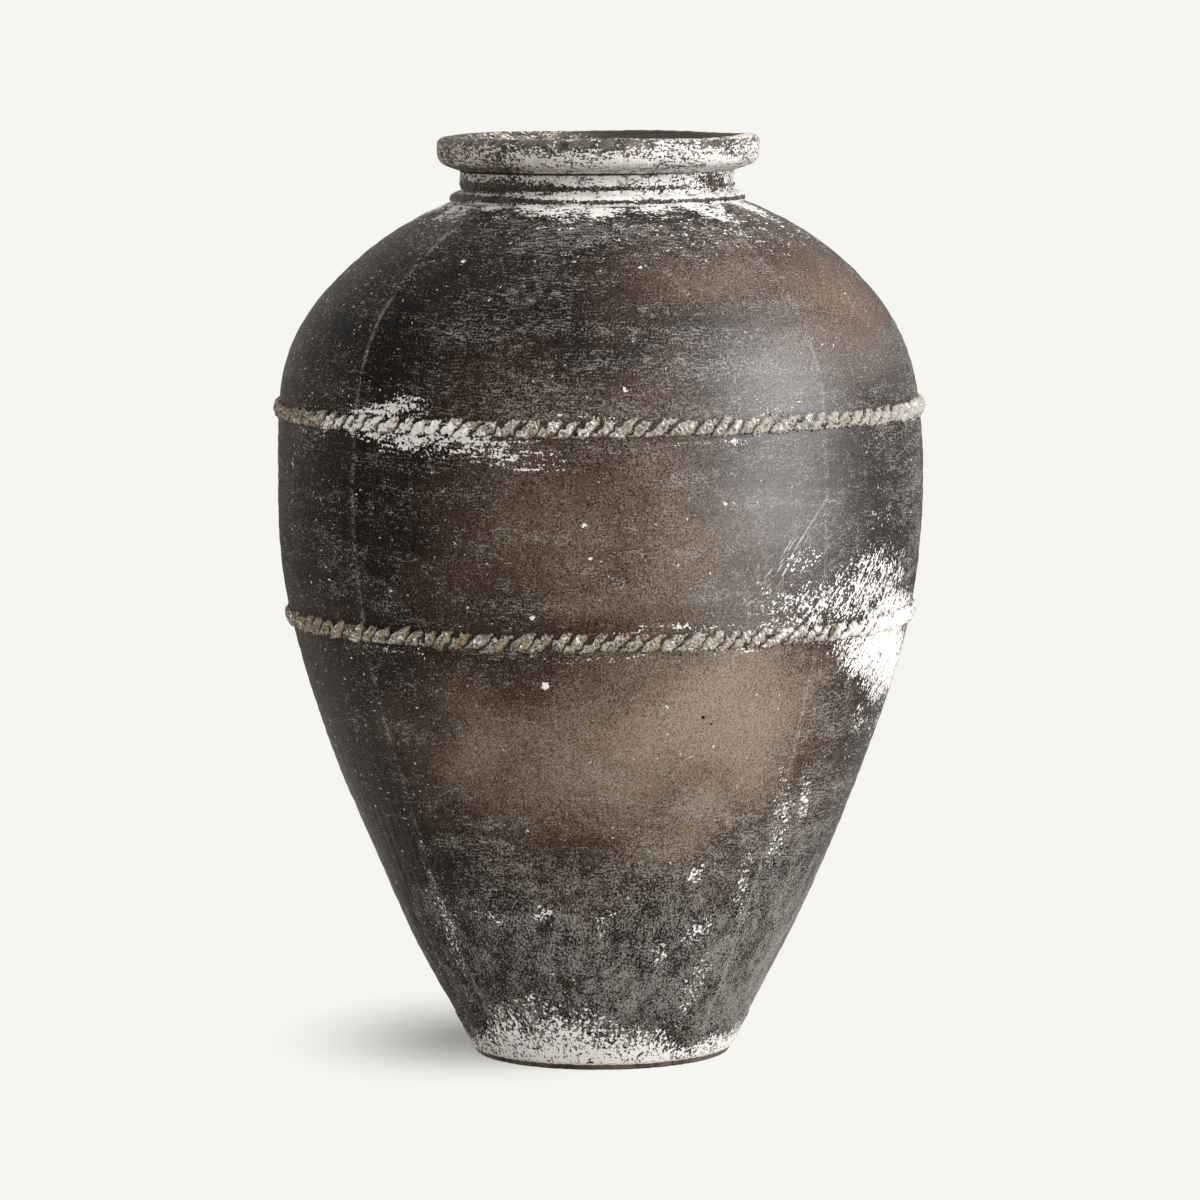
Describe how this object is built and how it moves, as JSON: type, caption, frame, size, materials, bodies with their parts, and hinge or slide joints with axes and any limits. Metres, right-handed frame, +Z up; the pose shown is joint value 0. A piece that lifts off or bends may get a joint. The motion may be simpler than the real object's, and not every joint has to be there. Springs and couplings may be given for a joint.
{
  "type": "greek pithos",
  "caption": "Floor-standing clay storage jar with a wide belly, narrow flat foot, short neck, rolled rim and rope bands, built from pressed wall panels luted on a floor slab.",
  "frame": {"origin": "centre of the resting face, on the jar's axis at floor level", "axes": "+Z up along the jar's axis, -Y towards the viewer of the picture, +X to the viewer's right"},
  "size_m": [0.508, 0.508, 0.72],
  "materials": {
    "dark_slip": "dark brown burnished slip, smoke-clouded, with rubbed chalk wash",
    "chalked_clay": "white chalk wash worn through to dark clay",
    "rope_clay": "grainy buff clay with chalk in the grooves",
    "bare_clay": "bare fired clay, matt"
  },
  "bodies": {
    "root": {"base_disc": "bare_clay", "collar_ring": "chalked_clay", "floor_coil": "bare_clay", "lower_rope_back": "rope_clay", "lower_rope_front": "rope_clay", "lower_rope_left": "rope_clay", "lower_rope_right": "rope_clay", "neck_ring": "chalked_clay", "rim_roll": "chalked_clay", "seam_coil_back_left": "bare_clay", "seam_coil_back_right": "bare_clay", "seam_coil_front_left": "bare_clay", "seam_coil_front_right": "bare_clay", "upper_rope_back": "rope_clay", "upper_rope_front": "rope_clay", "upper_rope_left": "rope_clay", "upper_rope_right": "rope_clay", "wall_back": "dark_slip", "wall_front": "dark_slip", "wall_left": "dark_slip", "wall_right": "dark_slip"}
  },
  "joints": []
}
